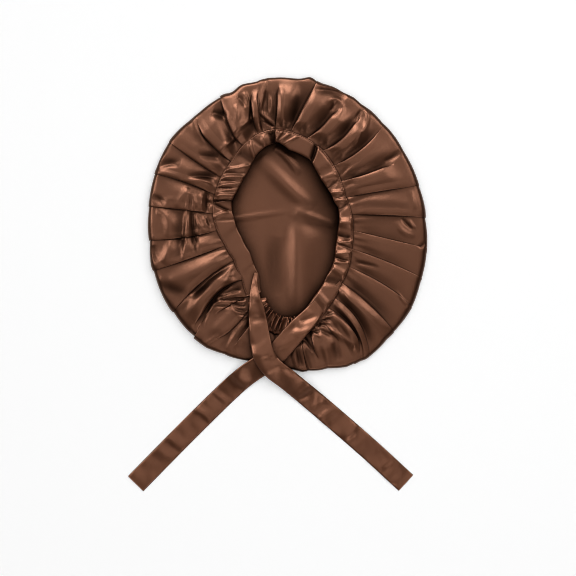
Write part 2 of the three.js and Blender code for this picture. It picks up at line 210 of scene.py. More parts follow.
# Wrinkles of the ring: a curve on the plan through three points, its height above or below the
# cloth, and its half widths on the left and on the right as the curve is followed
WRINKLE_COLUMNS = "x1 y1 x2 y2 x3 y3 height left right"
RING_WRINKLES = table(WRINKLE_COLUMNS, [
    # front left: folds that break into tents at the band
    (-108, 127, -110.5, 117.5, -97, 95, 1.5, 2.5, 4.5),
    (-105.5, 83, -93.5, 81.5, -81.5, 80.5, -2.4, 4.5, 4.5),
    (-89, 134.5, -81.5, 132, -72, 129.5, -2.4, 4.5, 4.5),
    (-153.5, 68.5, -140.5, 73, -128.5, 71, -2.7, 6, 3.5),
    (-156, 62.5, -143, 61, -125, 57.5, 1, 2.6, 3),
    (-119, 57.5, -101, 58, -84, 56.5, -2.6, 4, 2.5),
    (-123.5, 53, -104.5, 52, -85, 49, 1, 2.6, 2.5),
    (-61, 143, -59, 128.5, -62.5, 113, 1.2, 3.5, 3.5),
    (-50.5, 158.5, -45.5, 141.5, -47, 123.5, 2.2, 1.6, 4),
    (-59, 152.5, -54, 149, -49, 140.5, -1.8, 3.5, 3.5),
    (-66, 107, -52, 117.5, -37, 130, 2.2, 4.4, 1.3),
    (-82, 84.5, -68, 97.5, -56, 109.5, 2.2, 4.4, 1.3),
    (-24, 174, -29, 151, -32.5, 134.5, 1.9, 1.8, 3.5),
    (-32.5, 134.5, -25, 127, -13, 117.5, 2.2, 3, 1.5),
    (-15.5, 159.5, -18, 144, -18, 131, 1, 1.6, 1.6),
    (-25, 159.5, -23, 145, -24, 132, -1.8, 3, 3),
    (-30, 125, -23, 121, -14.5, 116.5, -1.2, 1.5, 1.5),
    (-7, 164.5, -6, 140.5, -7, 117.5, 1.3, 5, 2.5),
    (6, 122, 12, 146, 21, 170, -1.6, 8, 6),
    # left: the long pucker that crosses the pleats, and soft hollows
    (-119, 44.5, -119, 3.5, -123.5, -42, 2, 3.5, 1.8),
    (-125, 16, -125.5, -12, -128, -42, -2.6, 2.4, 9),
    (-115, 37, -115, 26.5, -116.5, 17, -1.6, 1.6, 1.8),
    (-113, 14.5, -111.5, -8.5, -109, -37, -3.5, 3.2, 2.6),
    (-110.5, 15.5, -107, 3.5, -101, -8.5, 1.6, 3, 1.4),
    (-115, 38.5, -111.5, 27.5, -110.5, 15.5, 1.4, 3, 1.4),
    (-119, 45.5, -125, 33.5, -132, 21.5, 1.3, 3.5, 3),
    (-99.5, 42, -102, 27.5, -101, 15.5, 1.3, 1.5, 3),
    (-95, 39.5, -95, 26.5, -95, 14.5, -2.2, 2.5, 2.5),
    (-99.5, 11, -97, 2.5, -92.5, -6, 0.9, 1.8, 1.8),
    (-95, 9.5, -93.5, 3.5, -91, -2.5, -1.1, 1.8, 1.8),
    (-150, 27.5, -140, 30, -128.5, 28.5, 0.6, 4, 3),
    (-161, 34, -153, 30, -145, 25, -1.8, 4, 5),
    (-157, 16, -143, 8, -142, -14.5, 2, 7, 4.5),
    (-139, -17, -142, -31, -148, -45.5, 1.9, 6, 4.5),
    (-161, -25, -158, -34, -154, -44.5, -1.6, 4.5, 4.5),
    (-73, -35, -104.5, -54, -140.5, -67, 1.1, 7, 7),
    (-152.5, -71, -138, -78, -121, -83, -2.2, 7, 7),
    (-114, -85, -99.5, -75.5, -83, -67, -2, 4.5, 5),
    (-84, -79, -73, -65, -66, -49, 1.3, 4, 4),
    (-60, -70, -88, -89, -101, -126, -1.6, 2.5, 2),
    (-135.5, -102, -122.5, -92.5, -111.5, -81.5, 1.1, 3, 4),
    (-111.5, -119, -111.5, -131, -104.5, -138, 1.1, 2, 2),
    # back left: gathers beside the left tie
    (-47, -75.5, -61, -78, -81.5, -86.5, -2.2, 1.6, 1.6),
    (-48, -83, -66, -85, -83, -87.5, 1.5, 2.2, 1.8),
    (-45.5, -87.5, -66, -89, -87.5, -90, -2.8, 1.7, 1.7),
    (-90, -91, -87.5, -95, -79, -91, 1.1, 1.5, 1.5),
    (-86.5, -96, -78, -97, -68.5, -96, -2.4, 2.2, 2.2),
    (-45.5, -92.5, -55, -92.5, -65, -90, 1, 1.3, 1.3),
    (-45.5, -96.5, -57.5, -97, -67, -92, -2, 1.5, 1.5),
    (-45.5, -99.5, -55, -99.5, -63.5, -97, 0.9, 1.1, 1.1),
    (-47, -102.5, -56.5, -102, -63.5, -98.5, -1.5, 1.2, 1.2),
    (-66, -100, -57.5, -105.5, -47, -104.5, 1.5, 1.4, 1.4),
    (-61, -105.5, -55, -110, -47, -110.5, 1.1, 1.3, 1.8),
    (-48, -115, -61, -132, -71, -150, 1.1, 5, 4.5),
    (-65, -128.5, -72, -139, -79, -150, -1.1, 4.5, 4.5),
    (-55, -128.5, -59, -141.5, -59, -157, 0.9, 4.5, 4.5),
    (-80.5, -132, -91, -138, -99.5, -144, 1, 3, 3),
    # back right: gathers under the right tie
    (35, -113, 43, -109, 56.5, -104.5, -2.2, 1.6, 1.6),
    (37, -110, 47, -110.5, 55, -108, 1.2, 1.3, 1.3),
    (35, -116, 43, -114, 51.5, -114, -2, 1.4, 1.4),
    (37, -117.5, 48, -116.5, 55, -122.5, 1.3, 1.3, 1.5),
    (33.5, -121, 43, -120, 53, -127, -2, 1.5, 1.5),
    (39.5, -119, 56.5, -127, 79, -144, 2.2, 1.5, 4),
    (74.5, -140.5, 80.5, -143, 78, -150, 1, 1.4, 1.4),
    (18, -139, 20.5, -153.5, 27.5, -174, 2.3, 2.6, 1.3),
    (13, -147.5, 14.5, -158.5, 18, -170.5, -2.2, 2.4, 2.4),
    (19, -133, 25, -141.5, 32.5, -152.5, -1.8, 2, 2),
    (29, -123.5, 33.5, -127, 39.5, -127, -1.4, 1.6, 1.6),
    (30, -127, 36, -132, 42, -133, 1, 1.4, 1.6),
    (38.5, -125, 47, -129.5, 55, -133, -1.3, 1.8, 1.8),
    (41, -141.5, 47, -155, 49, -170.5, 1.1, 4, 4),
    (55, -141.5, 59, -151, 62.5, -162, -1.5, 3.5, 3.5),
    (3.5, -144, 7, -156, 12, -170.5, 1, 3, 3),
    (61, -116.5, 68.5, -127, 77, -135.5, -1.2, 3, 3),
    (60, -72, 88, -99, 118, -128, 2.2, 6, 13),
    (53, -92, 77, -116, 94, -152, 1.5, 3.2, 4),
    (46, -103, 69, -121, 84, -154, 1.4, 3.2, 4),
    # front right: hollows and caps at the ends of the pleats
    (35, 159.5, 53, 161, 72, 152.5, -2.7, 2.2, 6),
    (37, 169, 48, 164.5, 61, 159.5, 0.4, 2, 2),
    (48, 145, 59, 150, 66, 140.5, 1.7, 2.5, 2.5),
    (66, 144, 66, 137, 62.5, 128.5, 1.1, 2.5, 2.5),
    (56.5, 146.5, 55, 140.5, 51.5, 135.5, -1.6, 2, 2),
    (92.5, 137, 96, 127, 90, 109, 1.9, 3.5, 2),
    (89, 137, 85, 131, 81.5, 123.5, -1.5, 1.8, 1.8),
    (74.5, 95, 80.5, 107, 86.5, 119, 0.9, 1.3, 1.3),
    (83, 95, 86.5, 105.5, 89, 116.5, 0.9, 1.3, 1.3),
    (116, 76, 126, 81, 135, 87.5, -1.8, 2.4, 3.5),
    (78, 22, 113, 23, 149, 19.5, -0.8, 5, 5),
    (147.5, 42, 150, 30, 151, 17, 0.9, 3, 3),
    # right: the pucker at the rim
    (138, 8.5, 143, 1, 150, -6, -2, 1.4, 1.4),
    (145, 7, 149, 0, 152.5, -5, 1.3, 1.6, 1.6),
    (131, 3.5, 139, -8.5, 152.5, -13, 1.1, 3, 3),
    (157, -26.5, 162, -24.5, 164.5, -20.5, -1.3, 1.6, 1.6),
    (131, -79, 138, -89, 147.5, -99.5, 1.3, 2, 2),
    (78, -44.5, 93.5, -47, 110.5, -51.5, -1.2, 2.5, 2.5),
])

# Folds of the inside panel, in the same columns
PANEL_WRINKLES = table(WRINKLE_COLUMNS, [
    (-33, 82, -1.5, 48.5, 31, 20, 3.2, 8.5, 9),
    (-15, 92, -2, 81.5, 14, 60, 2.4, 6, 2.4),
    (-90, 2, -46, 9.5, 2, 16.5, 1.3, 3.5, 2.5),
    (-2, 11, 29, 0, 62, -8, -1.2, 4, 9),
    (10, 17, 33, 9, 58, -1, 1.5, 4, 3),
    (15, 24, 14, -40, 15, -114, 5.2, 19, 11.5),
    (-75.5, 75.5, -54, 39.5, -48, -3.5, 1.4, 13, 13),
    (-12, -14, -16, -48, -12, -84, -1.6, 10, 9),
    (-51.5, -9.5, -42, -50.5, -24, -93.5, 1.2, 13, 13),
])

# The front band, anticlockwise from its right end to its left end: width on the plan and how
# far the free edge hangs down
BAND = table("deg width dip", [
    (-74, 22, 1),
    (-58, 22, 2.5),
    (-42, 20, 3),
    (-12, 19.7, 3.5),
    (0, 17.6, 4),
    (20, 13.9, 4),
    (32, 17.4, 3.5),
    (46, 21.8, 3),
    (56, 21.6, 2.5),
    (66.5, 19.3, 2),
    (78, 21.4, 2),
    (85, 22, 2),
    (94, 16.2, 3),
    (114, 19, 2),
    (125, 22.6, 1.5),
    (142, 25.2, 1.5),
    (150, 24.6, 1.5),
    (160, 21.6, 2),
    (166, 23, 2),
    (178, 24.5, 2),
    (200, 22.5, 2.5),
    (234, 21, 1),
    (241, 18, 1.5),
])

# Wrinkles across the band: where, how far each turns along the band on its way across, height,
# half width, and the shares of the width that it starts and stops at
BAND_WRINKLES = table("deg turn height spread start stop", [
    (-62, 3, 2, 4, 0, 1),
    (-48, -3, -2, 5, 0, 1),
    (-40, 2, 1.8, 4.5, 0, 0.9),
    (-32.5, -3, 1.2, 1.6, 0, 1),
    (-30, 2, -1.6, 2.4, 0.2, 1),
    (-24.5, -2, 2, 3.2, 0, 1),
    (-19, 3, -1.4, 2, 0, 0.9),
    (-15.8, -4, 1.5, 2.2, 0, 0.8),
    (-11, 3, -2.2, 4.6, 0.2, 1),
    (2, 2, 2.8, 6.5, 0, 1),
    (18, -3, -1.8, 4.5, 0, 1),
    (24, 4, 1.4, 1.7, 0, 1),
    (26.3, -2, -1, 1.5, 0.1, 1),
    (30.5, 3, 2, 3.6, 0, 1),
    (39, -4, -1.8, 3.6, 0.2, 1),
    (46, 2, 1.4, 4, 0, 1),
    (56, 0, 1, 6, 0, 1),
    (67.2, -5, -2.2, 3.4, 0, 0.9),
    (86, 10, 1.4, 1, 0, 0.8),
    (90.5, 8, 1.6, 1, 0, 0.8),
    (94.5, 5, 2, 1.2, 0, 1),
    (100, 0, -2.6, 3, 0.2, 1),
    (106, 3, 1.6, 2.6, 0.3, 1),
    (111, -3, -1, 2.4, 0, 0.8),
    (116.5, 6, 2, 2.2, 0.2, 1),
    (124, 0, -2, 6.5, 0.1, 1),
    (132.5, -12, 2.2, 1.8, 0, 0.8),
    (136.5, -10, -1.6, 1.4, 0, 0.9),
    (140, -10, 2, 1.5, 0.1, 1),
    (143.5, -8, -1.5, 1.3, 0, 0.6),
    (147, -9, 2, 1.7, 0, 1),
    (150, -6, -1.4, 1.2, 0, 0.7),
    (152, -8, 1.4, 1.3, 0.3, 1),
    (156, -4, 2.2, 2.4, 0, 1),
    (160, -6, -1.2, 1.2, 0, 0.6),
    (167, 6, -1.8, 2.4, 0, 0.8),
    (172, -6, 1.8, 2.4, 0, 0.7),
    (178, 4, -0.8, 3, 0, 1),
    (192, -3, -0.5, 6, 0, 1),
    (210, 6, 0.5, 9, 0, 1),
    (226, -4, -0.4, 4, 0.2, 1),
])

# Folds where the band laps over itself: where, how far each turns along the band on its way
# across, and how high the clockwise side stands above the other
BAND_FOLDS = table("deg turn rise", [
    (66, -6, 3.2),
    (97, 0, 2.8),
    (160, -3, 2.8),
])
FOLD_LIP = 0.8
FOLD_RUN = 22
# How far the painted shade beside a band fold reaches, and the rise at which it is darkest
FOLD_SHADOW = 4.0
FOLD_DARK_RISE = 3

# The band's section, its right end, and the bead along the free edge of its left side
BAND_STEP = 1.0
BAND_RADIUS = 90
BAND_ROWS = np.concatenate([np.linspace(0, 0.16, 6), np.linspace(0.22, 1, 13)])
BAND_SEWN = 0.35
BAND_SEWN_SHARE = 0.25
BAND_SWELL = 0.25
WRINKLE_START = 0.15
WRINKLE_STOP = (0.1, 0.2)
DIP_SHARE = 0.4
END_DROP = 2.5
END_RUN = 8
EDGE_BEAD = 0.7
BEAD_WIDTH = 1.4
BEAD_FROM = (166, 178)
SEAM_NUDGE = 3

# The row of stitches along the band's seam
STITCH_INSET = 1.6
STITCH_SPACING = 2.7
STITCH_LENGTH = 1.7
STITCH_RADIUS = 0.32
STITCH_SIDES = 6
STITCH_STANDS = 0.6
STITCH_ENDS = 1
STITCH_SECTIONS = ((-0.5, 0.35), (-0.38, 1), (0.38, 1), (0.5, 0.35))
STITCH_GROOVE = 0.22
GROOVE_WIDTH = 0.9

# The nape casing, with painted shade in the valleys of its folds, and how its folds wander: height,
# turn across and turn along
NAPE = dict(from_deg=243, to_deg=279, width=22, folds=10, ruffle=3.8, valley_shade=0.62, lean=0.9,
            steps_per_fold=12, rows=13, flat_end=0.14, edge_wave=0.05, cloth=0.6,
            sewn=0.25, sewn_share=0.35, free=0.8, free_from=0.8)
NAPE_WANDER = ((1.1, 4.5, 9), (0.9, 0, 23))

# The ties from the band's ends outwards: middle line, width, lift above what they lie on and
# roll, how far the right-hand edge stands above the left-hand one
TIE_COLUMNS = "x y width lift roll"
TIE_RIGHT = table(TIE_COLUMNS, [
    (43.8, -90.8, 15, -7.6, 0),
    (33.5, -102.5, 19.5, -5.2, 0),
    (25.7, -111.8, 22, -2.6, 0.6),
    (12.5, -125.5, 25, 0, -0.6),
    (-12, -153, 26, 0, 0.8),
    (-27, -165, 26, 0, 0.5),
    (-57, -187, 26, 0, -0.6),
    (-105.5, -233.5, 26, 0, 0.5),
    (-160.5, -289, 26, 0, -0.4),
    (-182.5, -311.5, 26, 0, 0),
])
TIE_LEFT = table(TIE_COLUMNS, [
    (-36.6, -56.5, 4, -3.3, -0.4),
    (-38.8, -72, 8, -1.8, -1),
    (-38.2, -86.5, 13, 0.6, -1.6),
    (-36, -102, 19, 1.2, -1.6),
    (-34, -120, 23, 1.2, -0.4),
    (-31.5, -140.5, 25, 1.8, -1),
    (-26, -159, 26, 3.6, -1),
    (-16, -172, 26, 3.6, 0.6),
    (3.5, -187.5, 26, 1.6, 1),
    (43, -221, 26, 0, 0.5),
    (99.5, -270, 26, 0, -0.5),
    (143.5, -310.5, 26, 0, 0),
])

# Wrinkles across the ties, in the columns of the ring's wrinkles
TIE_WRINKLES = table(WRINKLE_COLUMNS, [
    # right tie, from the band down
    (15, -117, 24, -113, 36, -108, -1.4, 3, 3),
    (7, -130.5, 21, -128, 36, -122, 2, 5, 3.5),
    (-4, -132, 5, -125, 13, -119, -1.4, 3.5, 3.5),
    (-14, -148, 0, -141, 13, -134, 1.6, 5, 4),
    (-68, -174, -59, -184, -46, -194, 2.6, 8, 5),
    (-93, -196, -80, -207, -68, -214, 1.6, 4, 4),
    (-114, -220, -99, -228, -90, -240, 2.2, 6, 3.5),
    (-146, -252, -135, -262, -124, -272, 1.3, 6, 4),
    # left tie, from its point down
    (-36, -58, -34.5, -73, -33, -92, 1.6, 2.2, 6),
    (-50, -109, -37, -112, -22, -111, -1.6, 6, 5),
    (-46, -153, -28, -154, -12, -155, 1.8, 12, 5),
    (8, -208, 20, -199, 30, -188, 2.4, 8, 5),
    (37, -234, 49, -226, 60, -218, 1.6, 6, 4),
    (66, -256, 78, -250, 84, -236, 1.8, 7, 3.5),
    (108, -297, 118, -287, 128, -277, 1.2, 8, 4),
])
TIE_STEP = 1.5
TIE_ACROSS = 16
TIE_CALM = (0.02, 0.08)

# Waves of a tie: height, what is added to its seed, and wavelength
TIE_WAVES = ((0.9, 0, 30.0), (0.3, 10, 14.0))

# Points that a wrinkle's curve is followed through, and those of a line that is measured
WRINKLE_POINTS = 9
WRINKLE_MARGIN = 3
WRINKLE_TAPER = 0.6
LINE_POINTS = 4000

# Irregular waves: shortest and longest in wavelengths, drift of a radial fold, and what calms them
WAVE_LENGTHS = (0.7, 1.6)
WAVE_DRIFT = 5
WAVE_CALM = 1.5

# The satin's colours, its gloss, and how its tone, crumple and weave show
BROWN = (0.138, 0.0495, 0.0225)
# The nape's brown is a lighter copy of the same satin: painted light that lifts its ruffles
NAPE_LIT_BROWN = (0.22, 0.078, 0.0374)
TIE_BROWN = (0.16, 0.0578, 0.0268)
THREAD_BROWN = (0.13, 0.045, 0.02)
GLOSS = {
    "Roughness": 0.36,
    "IOR": 1.5,
    "Specular IOR Level": 1.0,
    "Specular Tint": (0.95, 0.8, 0.72, 1),
    "Sheen Weight": 0.01,
    "Sheen Roughness": 0.4,
}
# Painted shade: metallic in full shade and in the open, and the power and samples of the ambient
# occlusion
METAL = {"To Min": 1.0, "To Max": 0.67}
HIDDEN_SHADE_POWER = 2.0
HIDDEN_SHADE_SAMPLES = 6
TONE_SPREAD = 0.1
CLOUD = {"Scale": 18, "Detail": 4}
CRUMPLE = {"Scale": 90, "Detail": 3}
CRUMPLE_BUMP = {"Strength": 0.08, "Distance": 0.002}
WEAVE = {"Scale": 900, "Distortion": 1.5}
WEAVE_BUMP = {"Strength": 0.04, "Distance": 0.0003}

# The floor, which shines a little by itself
FLOOR_REACH = 3000
FLOOR = {
    "Base Color": (0.9, 0.9, 0.9, 1),
    "Roughness": 0.9,
    "Emission Color": (1, 1, 1, 1),
    "Emission Strength": 0.258,
}

# Camera and light. The soft lights only fill and the gloss lights only show in the satin. Each has
# its place and size in metres, and its power
PICTURE_WIDTH = 691.2
PICTURE_MIDDLE = (1.2, -75.6)
PICTURE_LEVEL = 8
LENS = 100.0
SENSOR = 36.0
SOFT_LIGHTS = (
    ("key", (1.2, 1.1, 3.4), 3.2, 60),
    ("fill", (-0.3, -0.3, 3.6), 3.6, 70),
)
GLOSS_LIGHTS = (
    ("gloss_top", (0, -0.1, 2.3), 1.3, 3.95),
    ("gloss_front", (-0.3, 1.3, 1.25), 0.8, 25),
    ("gloss_left", (-1.35, 0.4, 1.25), 0.8, 15),
    ("gloss_right", (0.9, 0.8, 1.3), 0.8, 10),
    ("gloss_back", (0.4, -1.3, 1.3), 0.8, 5),
)

# The sky is brighter near the horizon, so that low views show the satin too
SKY = {"From Min": 0.1, "From Max": 0.5, "To Min": 0.25, "To Max": 0.03}


def smoothstep(low, high, x):
    """0 below low, 1 above high and smooth between."""
    share = np.clip((x - low) / (high - low), 0, 1)
    return share * share * (3 - 2 * share)


def mix(a, b, share):
    """The value at a share of the way from a to b."""
    return a + (b - a) * share


def on_plan(deg, mm):
    """X and Y of a bearing and a distance from the middle."""
    return mm * np.cos(np.radians(deg)), mm * np.sin(np.radians(deg))


def around(column, deg_column, deg):
    """A column of the pleats at any bearing, read round the whole ring."""
    keys = PLEATS[deg_column][::-1]
    values = PLEATS[column][::-1]
    keys = np.concatenate([keys - 360, keys, keys + 360])
    values = np.concatenate([values] * 3)
    return np.interp(deg, keys, values)


def wrinkle_height(wrinkles, x, y):
    """Sum of a table's wrinkles at points on the plan, each fading out towards its ends."""
    total = np.zeros_like(x)
    part = np.linspace(0, 1, WRINKLE_POINTS)
    weights = np.stack([(1 - part) * (1 - 2 * part), 4 * part * (1 - part), part * (2 * part - 1)])
    for x1, y1, x2, y2, x3, y3, height, left, right in zip(*wrinkles.values()):
        lx = np.array([x1, x2, x3]) @ weights
        ly = np.array([y1, y2, y3]) @ weights
        margin = WRINKLE_MARGIN * max(left, right)
        near = (x > lx.min() - margin) & (x < lx.max() + margin)
        near &= (y > ly.min() - margin) & (y < ly.max() + margin)
        px, py = x[near], y[near]
        best = np.full(px.shape, np.inf)
        place = np.zeros(px.shape)
        spread = np.full(px.shape, left)
        for k in range(WRINKLE_POINTS - 1):
            dx, dy = lx[k + 1] - lx[k], ly[k + 1] - ly[k]
            along = np.clip(((px - lx[k]) * dx + (py - ly[k]) * dy) / (dx * dx + dy * dy), 0, 1)
            away = np.hypot(px - lx[k] - along * dx, py - ly[k] - along * dy)
            on_left = dx * (py - ly[k]) > dy * (px - lx[k])
            closer = away < best
            best = np.where(closer, away, best)
            place = np.where(closer, (k + along) / (WRINKLE_POINTS - 1), place)
            spread = np.where(closer, np.where(on_left, left, right), spread)
        taper = np.sin(math.pi * place) ** WRINKLE_TAPER
        total[near] += height * np.exp(-(best / spread) ** 2) * taper
    return total


def ripple(x, y, seed, wave, count=14):
    """Soft irregular waves of about one wavelength, the same on each run, between -1 and 1."""
    chance = np.random.default_rng(seed)
    total = np.zeros_like(x)
    for turn, phase, stretch in chance.random((count, 3)):
        heading = 2 * math.pi * turn
        length = wave * mix(*WAVE_LENGTHS, stretch)
        along = x * math.cos(heading) + y * math.sin(heading)
        total += np.sin(2 * math.pi * (along / length + phase))
    return total / math.sqrt(count) / WAVE_CALM


def radial_ripple(turn, share, seed, fewest, most, count=12):
    """Irregular folds that run out from the opening, between -1 and 1."""
    chance = np.random.default_rng(seed)
    total = np.zeros_like(turn)
    for amount, phase, drift in chance.random((count, 3)):
        number = round(mix(fewest, most, amount))
        total += np.sin(number * turn + 2 * math.pi * phase + WAVE_DRIFT * (drift - 0.5) * share)
    return total / math.sqrt(count) / WAVE_CALM


def mesh_object(name, points, faces, shade=1.0):
    """A smooth object in millimetres, with an attribute of painted shade that darkens the cloth in
    its folds.
    """
    mesh = bpy.data.meshes.new(name)
    mesh.from_pydata([tuple(p) for p in np.asarray(points) * MM], [], faces)
    mesh.polygons.foreach_set("use_smooth", np.ones(len(mesh.polygons), dtype=bool))
    mesh.update()
    dark = mesh.attributes.new("shade", "FLOAT", "POINT")
    dark.data.foreach_set("value", np.broadcast_to(shade, len(points)).astype(np.float32))
    thing = bpy.data.objects.new(name, mesh)
    bpy.context.collection.objects.link(thing)
    return thing


def grid_faces(rows, columns, closed):
    """Quads between the points of a grid, numbered row by row."""
    faces = []
    last = columns if closed else columns - 1
    for row in range(rows - 1):
        for column in range(last):
            right = (column + 1) % columns
            a = row * columns
            b = a + columns
            faces.append((a + column, a + right, b + right, b + column))
    return faces


# The crown

def crease_lines(share):
    """Bearing and radius of each pleat at shares of its length, as pleats by rows."""
    share = share[None, :]
    column = {name: values[:, None] for name, values in PLEATS.items()}
    x1, y1 = on_plan(column["seam_deg"], column["seam"])
    x2, y2 = on_plan(column["rim_deg"], column["rim"])
    length = np.hypot(x2 - x1, y2 - y1)
    knee = column["knee"]
    bent = np.where(share < knee, share / knee, (1 - share) / (1 - knee))
    bow = column["bow"] * bent * (2 - bent) / length
    x = mix(x1, x2, share) - (y2 - y1) * bow
    y = mix(y1, y2, share) + (x2 - x1) * bow
    deg = np.degrees(np.arctan2(y, x))
    turns = np.round((column["seam_deg"] - deg) / 360)
    return deg + 360 * turns, np.hypot(x, y)


def ring_height(share):
    """Height of the ring between its pleats, from the seam to the rim."""
    sewn = (PUFF_HEIGHT - SEAM_HEIGHT) * (1 - smoothstep(0, CLIMB_SHARE, share))
    rounded = np.sqrt(np.clip(1 - share ** RIM_POWER, 0, 1))
    return RIM_HEIGHT + (PUFF_HEIGHT - RIM_HEIGHT) * rounded - sewn


def ring_rows():
    """Rows of the crown from under the band, over the ring and round the rim fold."""
    even = np.linspace(0, 1, TOP_ROWS)
    top = even - END_SPACING * np.sin(2 * math.pi * even) / (2 * math.pi)
    share = np.concatenate([TUCKED, top])
    slope = (ring_height(share + NUDGE) - ring_height(share - NUDGE)) / (2 * NUDGE) / RING_WIDTH
    slope[-1] = UPRIGHT
    size = np.hypot(slope, 1)
    rows = dict(share=share, inward=np.zeros_like(share), height=ring_height(np.clip(share, 0, 1)),
                out=-slope / size, up=1 / size, fold=np.ones_like(share))
    turn = np.radians(RIM_TURNS)
    rim = dict(share=np.ones_like(turn), inward=RIM_RUN * (1 - np.cos(turn)),
               height=UNDER_HEIGHT + (RIM_HEIGHT - UNDER_HEIGHT) * (1 - np.sin(turn)),
               out=np.cos(turn), up=-np.sin(turn), fold=1 - smoothstep(*RIM_FADE, turn))
    flat = np.ones_like(UNDER_PARTS)
    under = dict(share=flat, inward=RIM_RUN + UNDER_PARTS * (UNDER_RUN - RIM_RUN),
                 height=UNDER_HEIGHT * flat, out=0 * flat, up=-flat, fold=0 * flat)
    return {name: np.concatenate([rows[name], rim[name], under[name]]) for name in rows}


def crown_columns(rows):
    """Bearing, radius, rise and depth in a fold of the crown's columns, as columns by rows. The depth
    sets their painted shade.
    """
    share = rows["share"]
    deg, radius = crease_lines(share)
    count = len(deg)
    folds = len(FOLD["across"])
    spread = np.linspace(FOLD["across"][0], FOLD["across"][-1], folds)
    columns = []
    for i in range(count):
        reach, over = PLEATS["reach"][i], PLEATS["over"][i]
        held = rows["fold"]
        if reach < 1:
            held = (1 - smoothstep(reach - FADE_SHARE, reach, share)) * held
        rise = PLEATS["rise"][i] * mix(SEWN_RISE, 1, smoothstep(0, SEWN_SHARE, share)) * held
        rise = rise * mix(1, PLEATS["flare"][i], smoothstep(FLARE_FROM, 1, share))
        lap = PLEATS["lap"][i] * mix(SEWN_LAP, 1, smoothstep(0, LAP_SHARE, share))
        across = lap * mix(spread[:, None], FOLD["across"][:, None], held[None, :])
        height = FOLD["height"][:, None] * rise[None, :]
        depth = FOLD["depth"][:, None] * (held * np.clip(rise / DEEP_RISE, 0, 1))[None, :]
        if over < 0:
            across, height, depth = -across[::-1], height[::-1], depth[::-1]
        bearing = deg[i] - np.degrees(across / radius[i])
        columns.append((bearing, np.repeat(radius[i][None], folds, 0), height, depth))
    out = []
    for i in range(count):
        after = (i + 1) % count
        here, there = columns[i], columns[after]
        turn = 360 if after == 0 else 0
        gap = np.radians(here[0][-1] - there[0][0] + turn)
        span = gap * here[1][-1]
        between = max(FEWEST_COLUMNS, round(float(span.mean()) / PANEL_SPACING))
        part = (np.arange(between) + 1)[:, None] / (between + 1)
        between_deg = mix(here[0][-1], there[0][0] - turn, part)
        between_mm = mix(here[1][-1], there[1][0], part)
        width = gap * between_mm
        opened = smoothstep(0, PUFF_SHARE, share) * mix(1, RIM_PUFF, smoothstep(FLARE_FROM, 1, share))
        opened = opened * rows["fold"]
        puff = PLEATS["puff"][i] * width * np.sin(math.pi * part) ** PUFF_POWER * opened
        easing = part * part * (3 - 2 * part)
        between_rise = mix(here[2][-1], there[2][0], mix(part, easing, PANEL_EASE)) + puff
        # Painted shade: a panel is darkest where it goes in below the lip of its pleat
        here_dark = (UNDER_LIP_SHADE if PLEATS["over"][i] < 0 else OVER_LIP_SHADE) * here[3].max(axis=0)
        there_dark = (UNDER_LIP_SHADE if PLEATS["over"][after] > 0 else OVER_LIP_SHADE) * there[3].max(axis=0)
        between_shade = here_dark * np.exp(-part * width / NEAR_FOLD)
        between_shade = between_shade + there_dark * np.exp(-(1 - part) * width / NEAR_FOLD)
        panel = (between_deg, between_mm, between_rise, between_shade)
        out.append([np.concatenate(pair) for pair in zip(here, panel)])
    return [np.concatenate([piece[k] for piece in out]) for k in range(4)]


def panel_shade(x, y):
    """Painted shadow that the band throws on the inside panel, deepest along its front right."""
    deg = np.degrees(np.arctan2(y, x))
    width = np.interp(deg % 360, BAND["deg"] % 360, BAND["width"], period=360)
    lip = around("seam", "seam_deg", deg) - width
    inside = np.clip(lip - np.hypot(x, y), 0, None)
    facing = (0.5 + 0.5 * np.cos(np.radians(deg - SHADE_BEARING))) ** 2
    return 1 - mix(*BAND_SHADE, facing) * np.exp(-inside / mix(*BAND_SHADE_RUN, facing))


